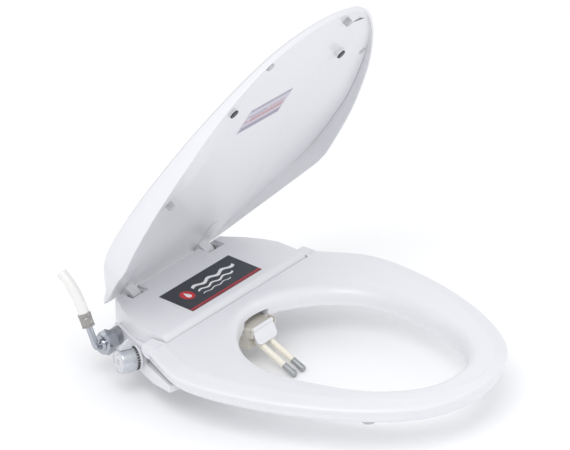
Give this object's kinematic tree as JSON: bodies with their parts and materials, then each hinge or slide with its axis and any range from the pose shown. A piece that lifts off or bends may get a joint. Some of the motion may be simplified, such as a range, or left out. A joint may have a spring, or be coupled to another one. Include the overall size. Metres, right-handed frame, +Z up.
{
  "type": "bidet seat",
  "caption": "Toilet bidet seat with hinged seat ring and lid, side dial valve, water inlet with hose stub, and two extending spray nozzles behind a gate.",
  "frame": {"origin": "midway between the two bowl bolts, on the plane of the bowl rim", "axes": "+Z up out of the bowl rim, -Y towards the front of the seat, +X to the right seen from the front"},
  "size_m": [0.379, 0.4599, 0.4411],
  "materials": {
    "body_white": "glossy white",
    "chrome_fitting": "polished",
    "dark_plastic": "matte",
    "ferrule_grey": "crimped",
    "gate_white": "glossy white",
    "guide_beige": "satin",
    "hose_milky": "milky translucent",
    "knob_face": "silver white",
    "knob_fin": "satin",
    "knob_satin": "satin chrome",
    "label_slate": "printed film, satin",
    "label_warning": "printed film",
    "lid_white": "glossy white",
    "nozzle_cream": "satin",
    "nozzle_tip": "satin",
    "pin_steel": "brushed",
    "rubber_grey": "matte",
    "seat_white": "glossy white",
    "thread_grey": "satin",
    "valve_plastic": "matte"
  },
  "bodies": {
    "base": {"mounting_bracket": "body_white", "bracket_pad_left": "rubber_grey", "bracket_pad_right": "rubber_grey", "base_housing": "body_white", "valve_body": "valve_plastic", "dial_ring": "dark_plastic", "top_cover": "body_white", "cover_label": "label_slate", "hinge_bracket_left": "body_white", "lid_pin_left": "pin_steel", "seat_pin_left": "pin_steel", "hinge_bracket_right": "body_white", "lid_pin_right": "pin_steel", "seat_pin_right": "pin_steel", "lid_damper_left": "dark_plastic", "lid_damper_right": "dark_plastic", "inlet_stub": "thread_grey", "inlet_nut": "chrome_fitting", "pipe_collar": "chrome_fitting", "elbow_pipe": "chrome_fitting", "hose_ferrule": "ferrule_grey", "supply_hose": "hose_milky", "nozzle_barrel_left": "guide_beige", "nozzle_barrel_right": "guide_beige", "nozzle_guide": "guide_beige", "gate_pin": "pin_steel"},
    "lid": {"lid_shell": "lid_white", "lid_arm_left": "lid_white", "lid_arm_right": "lid_white", "lid_bumper_front_left": "rubber_grey", "lid_bumper_front_right": "rubber_grey", "lid_bumper_middle_left": "rubber_grey", "lid_bumper_middle_right": "rubber_grey", "lid_bumper_side_left": "rubber_grey", "lid_post_tip_left": "dark_plastic", "lid_post_left": "lid_white", "lid_post_tip_right": "dark_plastic", "lid_post_right": "lid_white", "lid_label": "label_warning"},
    "seat": {"seat_ring": "seat_white", "seat_underplate": "seat_white", "seat_bumper_front_left": "rubber_grey", "seat_bumper_front_right": "rubber_grey", "seat_bumper_rear_left": "rubber_grey", "seat_bumper_rear_right": "rubber_grey"},
    "knob": {"knob_shell": "knob_satin", "knob_face": "knob_face", "knob_stem": "valve_plastic", "knob_fin": "knob_fin"},
    "nozzle_left": {"nozzle_rod_left": "nozzle_cream", "nozzle_tip_left": "nozzle_tip"},
    "nozzle_right": {"nozzle_rod_right": "nozzle_cream", "nozzle_tip_right": "nozzle_tip"},
    "gate": {"nozzle_gate": "gate_white"}
  },
  "joints": [
    {"name": "lid_hinge", "type": "hinge", "parent": "base", "child": "lid", "pos_m": [0, 0.008, 0.034], "axis": [-1, 0, 0], "range_deg": [-59, 46]},
    {"name": "seat_hinge", "type": "hinge", "parent": "base", "child": "seat", "pos_m": [0, -0.078, 0.026], "axis": [-1, 0, 0], "range_deg": [0, 58]},
    {"name": "knob_turn", "type": "hinge", "parent": "base", "child": "knob", "pos_m": [-0.14148, -0.0602, 0.01], "axis": [-0.8992, 0.4376, 0], "range_deg": [-80, 80]},
    {"name": "nozzle_left_slide", "type": "slide", "parent": "base", "child": "nozzle_left", "axis": [0, -0.8988, -0.4384], "range_m": [-0.045, 0]},
    {"name": "nozzle_right_slide", "type": "slide", "parent": "base", "child": "nozzle_right", "axis": [0, -0.8988, -0.4384], "range_m": [-0.045, 0]},
    {"name": "gate_hinge", "type": "hinge", "parent": "base", "child": "gate", "pos_m": [0, -0.122, 0.0086], "axis": [-1, 0, 0], "range_deg": [0, 45]}
  ]
}
